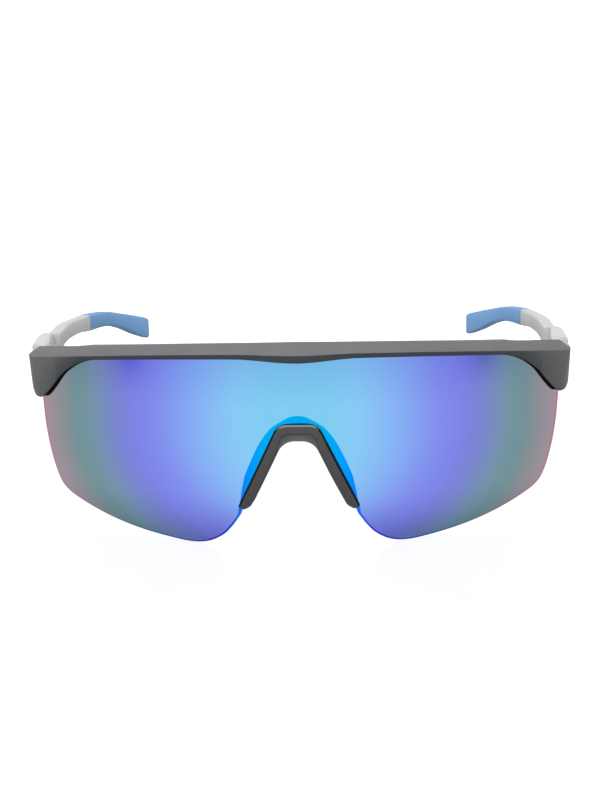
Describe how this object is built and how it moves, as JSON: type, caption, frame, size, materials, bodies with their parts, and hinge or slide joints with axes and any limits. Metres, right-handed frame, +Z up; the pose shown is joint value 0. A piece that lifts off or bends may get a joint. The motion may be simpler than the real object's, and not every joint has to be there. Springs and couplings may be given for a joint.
{
  "type": "shield sunglasses",
  "caption": "Semi-rimless shield sunglasses: one mirrored lens under a brow bar, folding temples with rubber tips and a nosepiece.",
  "frame": {"origin": "on the surface that the open pair lies on, under the middle of its box", "axes": "+Z up, -Y the way the lens faces, +X to the wearer's left; the pair lies open on its lens and temple tips"},
  "size_m": [0.1424, 0.153, 0.0555],
  "materials": {
    "frame_nylon": "matte grey moulded nylon",
    "temple_nylon": "matte light grey moulded nylon",
    "lens_mirror": "blue mirror coating on a polished lens",
    "nose_nylon": "dark grey moulded nylon",
    "nose_rubber": "soft matte grey",
    "tip_rubber": "soft matte blue",
    "hinge_steel": "satin steel"
  },
  "bodies": {
    "front": {"frame_front": "frame_nylon", "lens": "lens_mirror", "nose_carrier": "nose_nylon", "nose_pad": "nose_rubber", "hinge_leaf_front_left": "hinge_steel", "hinge_pin_left": "hinge_steel", "leaf_screw_front_left_lower": "hinge_steel", "leaf_screw_front_left_upper": "hinge_steel", "hinge_leaf_front_right": "hinge_steel", "hinge_pin_right": "hinge_steel", "leaf_screw_front_right_lower": "hinge_steel", "leaf_screw_front_right_upper": "hinge_steel"},
    "temple_left": {"temple_left": "temple_nylon", "temple_tip_left": "tip_rubber", "hinge_leaf_temple_left": "hinge_steel", "leaf_screw_temple_left_lower": "hinge_steel", "leaf_screw_temple_left_upper": "hinge_steel"},
    "temple_right": {"temple_right": "temple_nylon", "temple_tip_right": "tip_rubber", "hinge_leaf_temple_right": "hinge_steel", "leaf_screw_temple_right_lower": "hinge_steel", "leaf_screw_temple_right_upper": "hinge_steel"}
  },
  "joints": [
    {"name": "temple_left_fold", "type": "hinge", "parent": "front", "child": "temple_left", "pos_m": [0.06505, -0.03531, 0.03656], "axis": [0, 0.1922, 0.9814], "range_deg": [0, 88]},
    {"name": "temple_right_fold", "type": "hinge", "parent": "front", "child": "temple_right", "pos_m": [-0.06505, -0.03531, 0.03656], "axis": [0, -0.1922, -0.9814], "range_deg": [0, 81]}
  ]
}
